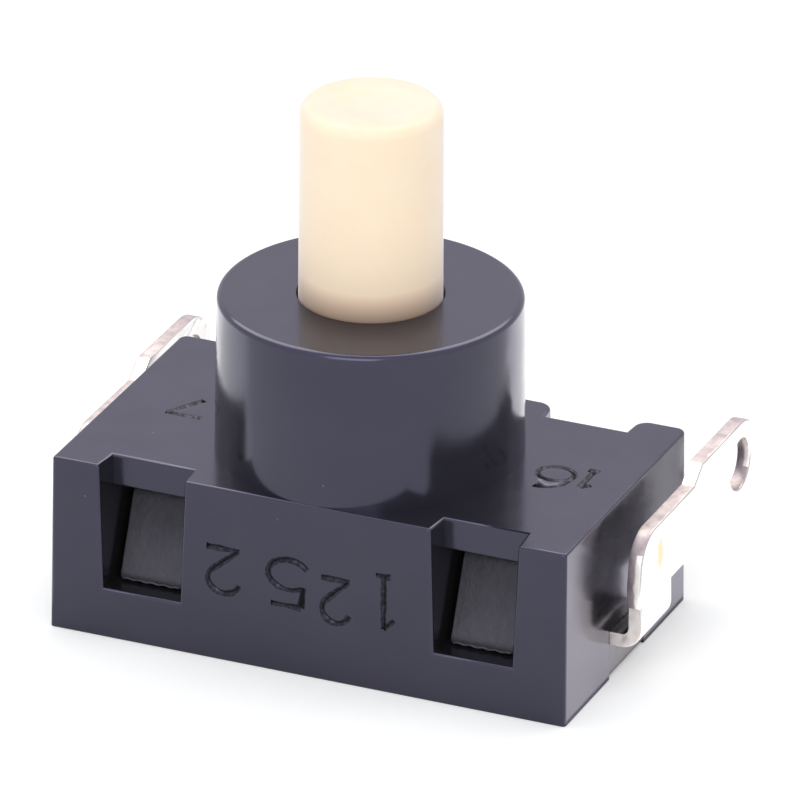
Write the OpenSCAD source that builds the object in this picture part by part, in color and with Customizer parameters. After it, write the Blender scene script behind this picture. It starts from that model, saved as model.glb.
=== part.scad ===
// Latching push button switch: a snap-together housing with a round collar, a sprung
// push button, a rotary ratchet that holds it down at every second press, and a contact
// bridge that joins two plated terminals.
// Millimetres, +Z up. The origin lies on the button's axis in the plane of the underside.
// +X runs to the right-hand terminal, and the terminal tabs point to +Y.

/* [Housing] */
// Length of the housing at its underside
body_l = 31; // [28:0.5:40]
// Width of the housing at its underside
body_w = 17.7; // [17:0.1:24]
// Height of the housing from the underside to the top face
body_h = 10.4; // [9.8:0.1:14]
// How far each outer wall leans in between the underside and the top face
draft = 0.2; // [0.05:0.05:0.4]
// Thickness of the front and back walls
wall = 1.7; // [1.2:0.1:2]
// Thickness of the end walls
end_wall = 1.6; // [1.2:0.1:2.4]
// Thickness of the top plate
roof = 1.8; // [1.2:0.1:2.2]
// Radius of the edges round the top face
edge_r = 0.25; // [0.1:0.05:0.5]
// Flat on the four upright corners
corner_cut = 0.2; // [0.1:0.05:0.5]

/* [Collar] */
// Diameter of the collar
collar_d = 17.1; // [16.4:0.1:20]
// Height of the collar above the top face
collar_h = 9.2; // [8:0.1:14]
// Thickness of the collar's wall
collar_wall = 1.95; // [1.2:0.05:2.1]
// Thickness of the collar's top
collar_roof = 1.6; // [1:0.1:2.4]
// Radius of the collar's rim
rim_r = 0.3; // [0.1:0.05:0.8]

/* [Windows and snap hooks] */
// Distance from the middle of the housing to the middle of a window
window_x = 9.95; // [8.5:0.05:11]
// Width of a window at the top face
window_top_w = 5.2; // [4.6:0.1:6]
// Width of a window at its sill
window_sill_w = 4.66; // [4:0.02:5]
// Height of the sill above the underside
sill_h = 2.95; // [2.4:0.05:4]
// Gap between a hook and each side of its window
hook_side_gap = 0.45; // [0.1:0.05:0.8]
// Gap between a hook's catch and the sill
hook_sill_gap = 0.1; // [0.05:0.05:0.3]
// How far a catch reaches over the sill
hook_catch = 0.3; // [0.1:0.05:0.6]
// Height of the upright face at the foot of a catch
hook_land = 0.5; // [0.2:0.1:1]
// Thickness of the arm that carries a hook
hook_arm = 2.2; // [1.6:0.1:2.8]
// Thickness of that arm at its tip
hook_tip = 0.7; // [0.4:0.1:1.2]

/* [Base] */
// Thickness of the base's floor
base_t = 2.15; // [1.6:0.05:2.6]
// Gap between the base and the cover's walls
base_gap = 0.1; // [0.05:0.05:0.2]
// Width of the slot in each end wall
slot_w = 5.2; // [5:0.1:6.4]
// How far a tongue of the base is set back from the end of the housing
tongue_set_back = 0.4; // [0.1:0.1:1]
// Thickness of the base that is left under the return spring
pocket_floor = 0.85; // [0.5:0.05:1.2]
// Side of each square post that guides the bridge
guide_post = 1.2; // [0.8:0.1:1.6]
// Width of the ribs that locate the terminals
locator_w = 0.7; // [0.5:0.1:1]

/* [Push button] */
// Diameter of the button's shank
button_d = 8; // [6:0.1:8.6]
// Height of the button above the collar when it is released
button_out = 11.4; // [6:0.1:16]
// Radius of the button's upper edge
button_edge_r = 0.4; // [0.2:0.05:1]
// Diameter of the shallow dish in the button's top
dish_d = 4.4; // [2:0.1:5]
// Depth of that dish
dish_depth = 0.12; // [0.05:0.01:0.3]
// Diameter of the button's skirt, which carries the crown
skirt_d = 10.3; // [9.6:0.1:10.4]
// Diameter of the hollow inside the crown
crown_bore_d = 7; // [6.8:0.1:7.6]
// Gap all round between sliding parts and what guides them
slide_gap = 0.15; // [0.1:0.01:0.2]

/* [Ratchet] */
// How far the button stays down when it is latched
latch_depth = 2.6; // [2:0.1:3]
// How far the button goes beyond that, so that the ratchet's teeth can pass each other
over_travel = 0.9; // [0.7:0.05:0.95]
// Width of the ratchet's lugs and of the crown's notches
lug_w = 2.6; // [2:0.1:2.7]
// Gap between the crown and the rotor's lugs
tooth_gap = 0.1; // [0.05:0.05:0.3]
// Thickness of the rotor below its lugs
rotor_foot = 0.8; // [0.5:0.1:1.2]
// Diameter of the rotor's hub
hub_d = 6.4; // [5.6:0.1:6.5]
// Height of the rotor's lugs at their low side
lug_h = 2; // [1.2:0.1:2.4]
// Diameter of the rotor's stem, which centres it in the button
stem_d = 4; // [3.2:0.1:4.4]
// Height of that stem above the hub
stem_h = 2.4; // [1.5:0.1:3]

/* [Carrier] */
// Diameter of the carrier's flange
flange_d = 8.4; // [7:0.1:8.6]
// Thickness of the carrier's flange
flange_t = 0.8; // [0.6:0.1:1.2]
// Side of the carrier's square post
post_w = 2.2; // [1.6:0.1:2.6]
// Diameter of the pivot that the rotor turns on
pivot_d = 2.4; // [1.6:0.1:3]
// Height of that pivot
pivot_h = 2; // [1.2:0.1:2.4]
// Radial clearance of the rotor on its pivot
pivot_gap = 0.05; // [0.02:0.01:0.1]
// Diameter of the spring seat
seat_d = 6.6; // [6.2:0.1:7.2]
// Thickness of the spring seat
seat_t = 0.6; // [0.4:0.1:0.8]
// Diameter of the post's staked head
stake_d = 4; // [3.4:0.1:4.4]
// Thickness of the post's staked head
stake_t = 0.4; // [0.2:0.1:0.6]

/* [Springs] */
// Mean diameter of the return spring
return_d = 5.4; // [5.2:0.1:6]
// Wire of the return spring
return_wire = 0.4; // [0.3:0.05:0.5]
// Turns of the return spring
return_turns = 5; // [4:0.5:5]
// Mean diameter of the contact spring
contact_d = 5; // [4.4:0.1:5.6]
// Wire of the contact spring
contact_wire = 0.35; // [0.25:0.05:0.45]
// Turns of the contact spring
contact_turns = 4.5; // [3.5:0.5:5]
// Length of the contact spring while the contacts are open
contact_spring_l = 3; // [2.6:0.1:3.4]

/* [Contacts] */
// Distance from the button's axis to the middle of each contact
contact_x = 7.2; // [7:0.1:8]
// Width of the bridge
bridge_w = 4; // [3.4:0.1:4.2]
// Thickness of the bridge
bridge_t = 0.6; // [0.4:0.1:0.8]
// Length of bridge beyond the middle of each contact
bridge_end = 2; // [1.8:0.1:2.6]
// Diameter of the bridge's round middle
bridge_mid_d = 6; // [5:0.1:6.4]
// Height left between the bridge's rivets and the top plate
bridge_head_room = 0.7; // [0.4:0.1:0.9]
// Diameter of the contacts' heads
contact_head_d = 3; // [2.4:0.1:3.4]
// Height of the contacts' heads
contact_head_h = 0.6; // [0.4:0.1:0.8]
// Diameter of the contacts' shanks
shank_d = 1.6; // [1.2:0.1:2]
// Diameter of the contacts' riveted tails
tail_d = 2.4; // [2.2:0.1:2.8]
// Height of the contacts' riveted tails
tail_h = 0.3; // [0.2:0.05:0.5]

/* [Terminals] */
// Thickness of the terminal strip
strip_t = 0.8; // [0.5:0.05:1]
// Distance from the end of the housing to the inner face of the upright blade
blade_gap = 1.05; // [0.6:0.05:2]
// Inner radius of the bend under the blade
bend_r = 0.4; // [0.2:0.05:0.6]
// Front edge of the strip, measured forward from the middle of the housing
strip_front = 2.45; // [2:0.05:2.5]
// Back edge of the strip, measured backward from the middle of the housing
strip_back = 1.95; // [1.7:0.05:2.4]
// Step by which the blade stands in front of the strip
blade_step = 0.15; // [0.05:0.05:0.3]
// Height of the blade's lower edge above the underside
blade_low = 4.65; // [4.2:0.05:5.2]
// Height of the blade's upper edge above the underside
blade_high = 8.85; // [8:0.05:9.4]
// Radius of the blade's upper front corner
blade_corner_r = 2; // [0.5:0.1:2.6]
// Place along Y where the blade begins to rise to the tab
tab_rise_y = 5.1; // [3:0.1:7]
// Length of that rise
tab_rise_l = 1.2; // [0.6:0.1:2]
// Width of the tab
tab_w = 5.1; // [4.6:0.1:6.3]
// Place along Y of the tab's hole and of the centre of its round end
tab_y = 12.05; // [11:0.05:16]
// Diameter of the tab's hole
tab_hole_d = 3; // [1.5:0.1:3.4]

/* [Hidden] */
$fn = 96;

over = 1;             // overrun of a cutting tool beyond the face that it cuts
sink = 0.2;           // how far a feature is rooted in its own piece
run_gap = 0.05;       // gap between flat faces that turn or slide on each other
rivet_gap = 0.02;     // radial gap round a rivet's shank
strip_margin = 0.3;   // strip that is left beyond a fixed contact's head
post_gap = 0.7;       // gap between the spring seat and the posts beside it
post_over = 0.2;      // how far those posts stand above the bridge
locator_inset = 1;    // distance from a strip's inner end to its locating ribs
tip_gap = 0.3;        // gap between a hook's tip and the top plate
edge_steps = 4;       // steps that make up a rounded edge
run_out = 0.2;        // share by which a ramp's cut goes on past its foot
dish_slope = 4;       // run of the dish's edge for each millimetre of its depth
lugs = 4;             // guide slots in the collar, and lugs that run in them
crown_teeth = 8;      // notches in the crown: two for each slot
side_copies = [-1, 1];

// Housing
top_l = body_l - 2 * draft;
top_w = body_w - 2 * draft;
cavity_l = body_l - 2 * end_wall;
cavity_w = body_w - 2 * wall;
roof_z = body_h - roof;
collar_top_z = body_h + collar_h;
collar_under_z = collar_top_z - collar_roof;
barrel_r = collar_d / 2 - collar_wall;
rib_r = skirt_d / 2 + slide_gap;
lug_r = barrel_r - slide_gap;
lug_slot_w = lug_w + 2 * slide_gap;

// Terminals
strip_z = base_t;
strip_top_z = strip_z + strip_t;
slot_h = strip_top_z + base_gap;
blade_in_x = body_l / 2 + blade_gap;
blade_out_x = blade_in_x + strip_t;
strip_in_x = contact_x - contact_head_d / 2 - strip_margin;
tab_r = tab_w / 2;
tab_z = blade_low + tab_r;
bend_out_r = bend_r + strip_t;

// Contacts, from the top plate down
bridge_top_z = roof_z - bridge_head_room - tail_h;
bridge_z = bridge_top_z - bridge_t;
seat_z = bridge_z - run_gap - seat_t;
post_hole_w = post_w + 2 * slide_gap;

// Carrier, rotor and crown, from the bridge up
flange_z = bridge_top_z + contact_spring_l;
rotor_z = flange_z + flange_t + run_gap;
lug_z = rotor_z + rotor_foot;
lug_low_z = lug_z + lug_h;
tooth_h = over_travel - tooth_gap;
apex_z = lug_low_z + tooth_h;
hub_top_z = apex_z + tooth_gap;
stem_top_z = hub_top_z + stem_h;
crown_tip_z = apex_z - tooth_h / 2 + tooth_gap;
crown_root_z = crown_tip_z + tooth_h;
crown_bore_top_z = hub_top_z + tooth_gap + slide_gap;
skirt_top_z = collar_under_z - run_gap;
button_top_z = collar_top_z + button_out;

// Guide ribs: a lug that is latched hangs under the ramp, against the wall at its end
rib_notch_z = apex_z - latch_depth;
rib_tip_z = rib_notch_z - tooth_h;
latch_angle = 180 / lugs + asin(lug_w / 2 / lug_r);
first_ramp_l = rib_r * sin(latch_angle);

// A block whose section is a trapezoid between z = 0 and z = h, run along Y
module leaning_slab(low_half, high_half, h, run)
    rotate([90, 0, 0])
        linear_extrude(run, center = true)
            polygon([[-low_half, 0], [low_half, 0], [high_half, h], [-high_half, h]]);

// Points of an arc about [x, y], in edge_steps equal steps
function arc(x, y, r, from, to) =
    [for (n = [0 : edge_steps])
        let (a = from + (to - from) * n / edge_steps)
        [x + r * cos(a), y + r * sin(a)]];

// The same block, with its two upper edges rounded to radius r
module rounded_slab(low_half, high_half, h, r, run) {
    lean = atan((low_half - high_half) / h);
    mid_x = high_half - r / tan(45 + lean / 2);
    rotate([90, 0, 0])
        linear_extrude(run, center = true)
            polygon(concat([[-low_half, 0], [low_half, 0]], arc(mid_x, h - r, r, lean, 90),
                           arc(-mid_x, h - r, r, 90, 180 - lean)));
}

// Outer form of the housing below the collar
module housing_block() {
    corner_low = (body_l + body_w) / 2 / sqrt(2) - corner_cut;
    corner_high = (top_l + top_w) / 2 / sqrt(2) - corner_cut;
    intersection() {
        rounded_slab(body_l / 2, top_l / 2, body_h, edge_r, body_w + over);
        rotate([0, 0, 90])
            rounded_slab(body_w / 2, top_w / 2, body_h, edge_r, body_l + over);
        rotate([0, 0, 45])
            leaning_slab(corner_low, corner_high, body_h, body_l + body_w);
        rotate([0, 0, -45])
            leaning_slab(corner_low, corner_high, body_h, body_l + body_w);
    }
}

// The collar as a turned form, rooted in the top plate
module collar_block()
    rotate_extrude()
        polygon(concat([[0, roof_z], [collar_d / 2, roof_z]],
                       arc(collar_d / 2 - rim_r, collar_top_z - rim_r, rim_r, 0, 90),
                       [[0, collar_top_z]]));

// A notch with one sloping side, cut from the middle outwards along +X at the given angle:
// it rises from z = low to z = high over the run that ends at that angle, and it goes on
// below z = low by run_out times its height
module ramp_cut(angle, run, low, high) {
    foot = low - run_out * (high - low);
    rotate([0, 0, angle])
        rotate([90, 0, 90])
            linear_extrude(collar_d)
                polygon([[-run * (1 + run_out), foot], [0, high], [0, foot]]);
}

// The four ribs between the guide slots of the collar, with the two ramps on each one's end
module guide_ribs()
    difference() {
        translate([0, 0, rib_tip_z])
            cylinder(h = collar_under_z + sink - rib_tip_z, r = barrel_r + sink);
        translate([0, 0, rib_tip_z - over])
            cylinder(h = collar_under_z + 2 * over - rib_tip_z, r = rib_r);
        for (n = [0 : lugs - 1])
            rotate([0, 0, n * 360 / lugs]) {
                translate([0, -lug_slot_w / 2, rib_tip_z - over])
                    cube([barrel_r, lug_slot_w, collar_under_z + over - rib_tip_z]);
                ramp_cut(latch_angle, first_ramp_l, rib_tip_z, rib_notch_z);
                ramp_cut(360 / lugs, lug_w, rib_tip_z, rib_notch_z);
            }
    }

// One window of the front wall: open at the top face, narrower at the sill
module window_cut()
    translate([0, -body_w / 2 + wall, 0])
        rotate([90, 0, 0])
            linear_extrude(wall + over)
                polygon([[-window_sill_w / 2, sill_h], [window_sill_w / 2, sill_h],
                         [window_top_w / 2, body_h], [window_top_w / 2, body_h + over],
                         [-window_top_w / 2, body_h + over], [-window_top_w / 2, body_h]]);

module housing_cover()
    color([0.16, 0.16, 0.18]) {
        difference() {
            union() {
                housing_block();
                collar_block();
            }
            translate([-cavity_l / 2, -cavity_w / 2, -over])
                cube([cavity_l, cavity_w, roof_z + over]);
            translate([0, 0, roof_z - over])
                cylinder(h = collar_under_z - roof_z + over, r = barrel_r);
            cylinder(h = collar_top_z + over, r = button_d / 2 + slide_gap);
            for (side = side_copies, face = [0, 180])
                rotate([0, 0, face])
                    translate([side * window_x, 0, 0])
                        window_cut();
            translate([-body_l / 2 - over, -slot_w / 2, -over])
                cube([body_l + 2 * over, slot_w, slot_h + over]);
        }
        guide_ribs();
    }

// One hook with its arm, at the front edge of the base
module snap_hook() {
    arm_w = window_sill_w - 2 * hook_side_gap;
    outer_y = -cavity_w / 2 + base_gap;
    inner_y = outer_y + hook_arm;
    catch_y = -cavity_w / 2 - hook_catch;
    catch_z = sill_h + hook_sill_gap;
    tip_z = roof_z - tip_gap;
    translate([-arm_w / 2, 0, 0])
        rotate([90, 0, 90])
            linear_extrude(arm_w)
                polygon([[inner_y, base_t - sink], [outer_y, base_t - sink], [outer_y, catch_z],
                         [catch_y, catch_z], [catch_y, catch_z + hook_land],
                         [inner_y - hook_tip, tip_z], [inner_y, tip_z]]);
}

module base()
    color([0.13, 0.13, 0.13])
        difference() {
            floor_l = cavity_l - 2 * base_gap;
            floor_w = cavity_w - 2 * base_gap;
            tongue_l = body_l - 2 * tongue_set_back;
            tongue_w = slot_w - 2 * base_gap;
            post_x = seat_d / 2 + post_gap;
            post_y = bridge_w / 2 + slide_gap;
            locator_l = cavity_l / 2 - strip_in_x - 2 * base_gap - locator_inset;
            union() {
                translate([-floor_l / 2, -floor_w / 2, 0])
                    cube([floor_l, floor_w, base_t]);
                translate([-tongue_l / 2, -tongue_w / 2, 0])
                    cube([tongue_l, tongue_w, base_t]);
                for (side = side_copies, face = [0, 180])
                    rotate([0, 0, face])
                        translate([side * window_x, 0, 0])
                            snap_hook();
                for (side = side_copies, far = side_copies)
                    translate([side * (post_x + guide_post / 2), far * (post_y + guide_post / 2),
                               base_t - sink])
                        translate([-guide_post / 2, -guide_post / 2, 0])
                            cube([guide_post, guide_post, bridge_top_z + post_over + sink - base_t]);
                for (side = side_copies) {
                    locator_x = side * (strip_in_x + locator_inset + locator_l / 2) - locator_l / 2;
                    translate([locator_x, -strip_front - base_gap - locator_w, base_t - sink])
                        cube([locator_l, locator_w, strip_t + sink]);
                    translate([locator_x, strip_back + base_gap, base_t - sink])
                        cube([locator_l, locator_w, strip_t + sink]);
                }
            }
            translate([0, 0, pocket_floor])
                cylinder(h = base_t, r = (return_d + return_wire) / 2 + slide_gap);
            for (side = side_copies)
                translate([side * contact_x, 0, base_t - tail_h - run_gap])
                    cylinder(h = tail_h + run_gap + over, r = tail_d / 2 + slide_gap);
        }

// A lug that points along +X, with its top rising towards +Y by rise
module bevelled_lug(low_z, high_z, rise)
    rotate([90, 0, 90])
        linear_extrude(lug_r)
            polygon([[-lug_w / 2, low_z], [lug_w / 2, low_z], [lug_w / 2, high_z],
                     [-lug_w / 2, high_z - rise]]);

module push_button()
    color([0.96, 0.9, 0.76])
        difference() {
            union() {
                rotate_extrude()
                    polygon(concat([[0, crown_tip_z], [skirt_d / 2, crown_tip_z],
                                    [skirt_d / 2, skirt_top_z], [button_d / 2, skirt_top_z]],
                                   arc(button_d / 2 - button_edge_r, button_top_z - button_edge_r,
                                       button_edge_r, 0, 90),
                                   [[dish_d / 2, button_top_z],
                                    [dish_d / 2 - dish_slope * dish_depth, button_top_z - dish_depth],
                                    [0, button_top_z - dish_depth]]));
                intersection() {
                    cylinder(h = skirt_top_z, r = lug_r);
                    for (n = [0 : lugs - 1])
                        rotate([0, 0, n * 360 / lugs])
                            bevelled_lug(crown_root_z, skirt_top_z, 0);
                }
            }
            translate([0, 0, crown_tip_z - over])
                cylinder(h = crown_bore_top_z - crown_tip_z + over, r = crown_bore_d / 2);
            cylinder(h = stem_top_z + 2 * slide_gap, r = stem_d / 2 + slide_gap);
            for (n = [0 : crown_teeth - 1])
                rotate([0, 0, n * 360 / crown_teeth])
                    translate([0, lug_w, 0])
                        ramp_cut(0, lug_w, crown_tip_z, crown_root_z);
        }

module ratchet_rotor()
    color([0.75, 0.74, 0.7])
        difference() {
            union() {
                translate([0, 0, rotor_z])
                    cylinder(h = hub_top_z - rotor_z, r = hub_d / 2);
                cylinder(h = stem_top_z, r = stem_d / 2);
                intersection() {
                    cylinder(h = hub_top_z, r = lug_r);
                    for (n = [0 : lugs - 1])
                        rotate([0, 0, n * 360 / lugs])
                            bevelled_lug(lug_z, apex_z, tooth_h);
                }
            }
            cylinder(h = rotor_z, r = lug_r);
            translate([0, 0, rotor_z - over])
                cylinder(h = pivot_h + run_gap + over, r = pivot_d / 2 + pivot_gap);
        }

module contact_carrier()
    color([0.3, 0.3, 0.32]) {
        translate([0, 0, flange_z])
            cylinder(h = flange_t, r = flange_d / 2);
        translate([0, 0, flange_z + flange_t - sink])
            cylinder(h = pivot_h + sink, r = pivot_d / 2);
        translate([-post_w / 2, -post_w / 2, seat_z - sink])
            cube([post_w, post_w, flange_z + 2 * sink - seat_z]);
        translate([0, 0, seat_z - stake_t])
            cylinder(h = stake_t, r = stake_d / 2);
    }

module spring_seat()
    color([0.8, 0.8, 0.8])
        difference() {
            translate([0, 0, seat_z])
                cylinder(h = seat_t, r = seat_d / 2);
            translate([-post_w / 2, -post_w / 2, seat_z - over])
                cube([post_w, post_w, seat_t + 2 * over]);
        }

// Height of a coil's wire after t of its turns: the first and the last turn lie flat
function coil_z(t, turns, wire, l) =
    wire / 2 + (l - wire) * max(0, min(1, (t - 0.75) / (turns - 1.5)));

// A compression spring from z = 0 to z = l, with its ends closed
module coil_spring(mean_d, wire, turns, l) {
    sides = 8;
    turn_steps = 20;
    steps = turns * turn_steps;
    rings = [for (i = [0 : steps], s = [0 : sides - 1])
        let (a = 360 * i / turn_steps, b = 360 * s / sides,
             r = mean_d / 2 + wire / 2 * cos(b),
             z = coil_z(i / turn_steps, turns, wire, l) + wire / 2 * sin(b))
        [r * cos(a), r * sin(a), z]];
    start = [for (s = [0 : sides - 1]) s];
    end = [for (s = [sides - 1 : -1 : 0]) steps * sides + s];
    skin = [for (i = [0 : steps - 1], s = [0 : sides - 1])
        let (t = (s + 1) % sides)
        [i * sides + s, (i + 1) * sides + s, (i + 1) * sides + t, i * sides + t]];
    polyhedron(points = rings, faces = concat([start], skin, [end]), convexity = 10);
}

module return_spring()
    color([0.75, 0.76, 0.78])
        translate([0, 0, pocket_floor])
            coil_spring(return_d, return_wire, return_turns, seat_z - pocket_floor);

module contact_spring()
    color([0.75, 0.76, 0.78])
        translate([0, 0, bridge_top_z])
            coil_spring(contact_d, contact_wire, contact_turns, contact_spring_l);

module contact_bridge()
    color([0.8, 0.5, 0.3])
        translate([0, 0, bridge_z])
            difference() {
                bridge_l = 2 * (contact_x + bridge_end);
                union() {
                    translate([-bridge_l / 2, -bridge_w / 2, 0])
                        cube([bridge_l, bridge_w, bridge_t]);
                    cylinder(h = bridge_t, r = bridge_mid_d / 2);
                }
                translate([-post_hole_w / 2, -post_hole_w / 2, -over])
                    cube([post_hole_w, post_hole_w, bridge_t + 2 * over]);
                for (side = side_copies)
                    translate([side * contact_x, 0, -over])
                        cylinder(h = bridge_t + 2 * over, r = shank_d / 2 + rivet_gap);
            }

// A contact rivet: head on z = 0 upwards, shank below it through a strip, and the riveted tail
module contact_rivet(strip) {
    cylinder(h = contact_head_h, r = contact_head_d / 2);
    translate([0, 0, -strip - sink])
        cylinder(h = strip + 2 * sink, r = shank_d / 2);
    translate([0, 0, -strip - tail_h])
        cylinder(h = tail_h, r = tail_d / 2);
}

module moving_contact()
    color([0.85, 0.85, 0.83])
        translate([contact_x, 0, bridge_z])
            mirror([0, 0, 1])
                contact_rivet(bridge_t);

module fixed_contact()
    color([0.85, 0.85, 0.83])
        translate([contact_x, 0, strip_top_z])
            contact_rivet(strip_t);

module moving_contact_left() mirror([1, 0, 0]) moving_contact();
module moving_contact_right() moving_contact();
module fixed_contact_left() mirror([1, 0, 0]) fixed_contact();
module fixed_contact_right() fixed_contact();

// Outline of the strip seen from the front: along the base, round the bend and up
module strip_section() {
    bend_x = blade_in_x - bend_r;
    bend_z = strip_top_z + bend_r;
    translate([strip_in_x, strip_z])
        square([bend_x - strip_in_x, strip_t]);
    intersection() {
        difference() {
            translate([bend_x, bend_z])
                circle(bend_out_r);
            translate([bend_x, bend_z])
                circle(bend_r);
        }
        translate([bend_x, strip_z])
            square(bend_out_r);
    }
    translate([blade_in_x, bend_z])
        square([strip_t, blade_high - blade_corner_r - bend_z]);
}

// Outline of the upright blade with its tab, as X forward to back and Y up
module blade_outline() {
    front = -strip_front - blade_step;
    difference() {
        union() {
            polygon([[front, blade_low], [strip_back, blade_low], [tab_y, blade_low],
                     [tab_y, tab_z + tab_r], [tab_rise_y + tab_rise_l, tab_z + tab_r],
                     [tab_rise_y, blade_high], [front + blade_corner_r, blade_high],
                     [front + blade_corner_r, blade_high - blade_corner_r],
                     [front, blade_high - blade_corner_r]]);
            translate([front + blade_corner_r, blade_high - blade_corner_r])
                circle(blade_corner_r);
            translate([tab_y, tab_z])
                circle(tab_r);
        }
        translate([tab_y, tab_z])
            circle(tab_hole_d / 2);
    }
}

module terminal()
    color([0.82, 0.81, 0.78])
        difference() {
            union() {
                translate([0, strip_back, 0])
                    rotate([90, 0, 0])
                        linear_extrude(strip_front + strip_back)
                            strip_section();
                translate([blade_in_x, 0, 0])
                    rotate([90, 0, 90])
                        linear_extrude(strip_t)
                            blade_outline();
            }
            translate([contact_x, 0, strip_z - over])
                cylinder(h = strip_t + 2 * over, r = shank_d / 2 + rivet_gap);
        }

module terminal_left() mirror([1, 0, 0]) terminal();
module terminal_right() terminal();

housing_cover();
base();
push_button();
ratchet_rotor();
contact_carrier();
spring_seat();
return_spring();
contact_spring();
contact_bridge();
moving_contact_left();
moving_contact_right();
terminal_left();
terminal_right();
fixed_contact_left();
fixed_contact_right();
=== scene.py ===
# %% [markdown]
# # A latching push button switch
# The switch is a black moulded housing with a round collar, an ivory button that slides in it,
# and a bent, plated terminal at each end. The exact solids come in first as a fixed frame.
# Every piece below is then dressed or rebuilt with soft edges on the place its solid holds.

# %% Load the frame
import math

import bmesh
import bpy
from mathutils import Matrix, Vector


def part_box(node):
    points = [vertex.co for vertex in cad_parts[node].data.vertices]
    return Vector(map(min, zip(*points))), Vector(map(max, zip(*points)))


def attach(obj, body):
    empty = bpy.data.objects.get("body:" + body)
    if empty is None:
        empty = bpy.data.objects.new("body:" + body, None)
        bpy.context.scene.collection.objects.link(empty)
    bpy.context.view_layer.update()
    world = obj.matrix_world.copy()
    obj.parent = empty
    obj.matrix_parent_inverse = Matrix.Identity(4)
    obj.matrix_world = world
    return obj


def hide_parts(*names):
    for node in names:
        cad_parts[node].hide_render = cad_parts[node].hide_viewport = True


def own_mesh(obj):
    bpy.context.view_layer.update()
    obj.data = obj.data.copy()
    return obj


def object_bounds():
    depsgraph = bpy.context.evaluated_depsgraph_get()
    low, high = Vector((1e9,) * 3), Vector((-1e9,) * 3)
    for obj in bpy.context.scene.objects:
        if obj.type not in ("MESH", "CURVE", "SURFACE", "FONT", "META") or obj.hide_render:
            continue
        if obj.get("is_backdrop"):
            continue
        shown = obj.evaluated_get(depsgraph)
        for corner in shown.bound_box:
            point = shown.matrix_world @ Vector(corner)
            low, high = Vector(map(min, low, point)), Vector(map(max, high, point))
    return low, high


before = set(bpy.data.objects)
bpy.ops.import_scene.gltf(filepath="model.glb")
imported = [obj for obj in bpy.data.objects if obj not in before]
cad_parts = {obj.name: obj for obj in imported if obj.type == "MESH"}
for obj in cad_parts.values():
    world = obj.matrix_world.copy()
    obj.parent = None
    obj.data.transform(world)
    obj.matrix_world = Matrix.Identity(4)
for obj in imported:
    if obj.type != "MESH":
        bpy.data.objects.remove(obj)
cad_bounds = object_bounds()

MM = 0.001  # the scene is in metres, and the sizes of this switch are said in millimetres


def size_of(node):
    """The lowest and the highest corner of a solid, in millimetres."""
    low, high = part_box(node)
    return low / MM, high / MM


cover_low, cover_high = size_of("housing_cover")
base_low, base_high = size_of("base")
button_low, button_high = size_of("push_button")
print("solids:", len(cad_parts), " overall, mm:", [round(v, 2) for v in cover_high - cover_low])

# %% [markdown]
# ## The camera first
# A product shot is taken from a little above, with a long lens, so that upright edges stay almost
# parallel. The camera is placed on a sphere round the switch: an angle round it, an angle above
# the table and a distance. Its three axes are worked out from those angles and set as a matrix.

# %% The camera
AROUND = math.radians(23.112)
ABOVE = math.radians(25.236)
TILT = math.radians(0.363)
DISTANCE = 642.82
LENS = 523.37
AIM_HEIGHT, AIM_RIGHT, AIM_UP = 13.818, 1.6443, -0.7166

back = Vector((math.sin(AROUND) * math.cos(ABOVE), -math.cos(AROUND) * math.cos(ABOVE), math.sin(ABOVE)))
level = Vector((math.cos(AROUND), math.sin(AROUND), 0))
upward = back.cross(level)
right = level * math.cos(TILT) + upward * math.sin(TILT)
up = upward * math.cos(TILT) - level * math.sin(TILT)
stand = Vector((0, 0, AIM_HEIGHT)) + right * AIM_RIGHT + up * AIM_UP + back * DISTANCE

camera = bpy.data.objects.new("camera", bpy.data.cameras.new("camera"))
camera.data.lens = LENS
camera.data.clip_start = 0.01
camera.matrix_world = Matrix.Translation(stand * MM) @ Matrix((right, up, back)).transposed().to_4x4()
bpy.context.scene.collection.objects.link(camera)
bpy.context.scene.camera = camera
print("camera stands at", [round(v) for v in stand], "mm")

# %% [markdown]
# ## Solid bodies from turned and pushed outlines
# Almost every piece of a switch is either turned, such as the collar and the button, or an outline
# pushed straight through, such as the windows and the blades. Two small helpers make both, from a
# few points in millimetres. A third one gives the points of an arc.

# %% Helpers that make closed shapes


def add_piece(name, mesh):
    piece = bpy.data.objects.new(name, mesh)
    bpy.context.scene.collection.objects.link(piece)
    return piece


def close_up(name, form):
    """Turn a form's faces outwards, bring it to metres and make it an object."""
    bmesh.ops.recalc_face_normals(form, faces=form.faces)
    bmesh.ops.scale(form, vec=(MM, MM, MM), verts=form.verts)
    mesh = bpy.data.meshes.new(name)
    form.to_mesh(mesh)
    form.free()
    return add_piece(name, mesh)


def arc(x, y, radius, start, end, steps=8):
    """Points of an arc about (x, y), from one angle to another in degrees."""
    turns = [math.radians(start + (end - start) * n / steps) for n in range(steps + 1)]
    return [(x + radius * math.cos(t), y + radius * math.sin(t)) for t in turns]


def turned(name, outline, steps=144, ring=False):
    """Turn (radius, height) points round the Z axis. A ring joins its last point to its first."""
    form = bmesh.new()
    rows = []
    for radius, height in outline:
        if radius < 1e-6:
            rows.append([form.verts.new((0, 0, height))] * steps)
        else:
            angles = [2 * math.pi * n / steps for n in range(steps)]
            rows.append([form.verts.new((radius * math.cos(a), radius * math.sin(a), height))
                         for a in angles])
    pairs = list(zip(rows, rows[1:]))
    if ring:
        pairs.append((rows[-1], rows[0]))
    for lower, upper in pairs:
        for n in range(steps):
            m = (n + 1) % steps
            corners = [lower[n], lower[m], upper[m], upper[n]]
            corners = [c for i, c in enumerate(corners) if c not in corners[:i]]
            if len(corners) > 2:
                form.faces.new(corners)
    return close_up(name, form)


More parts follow.
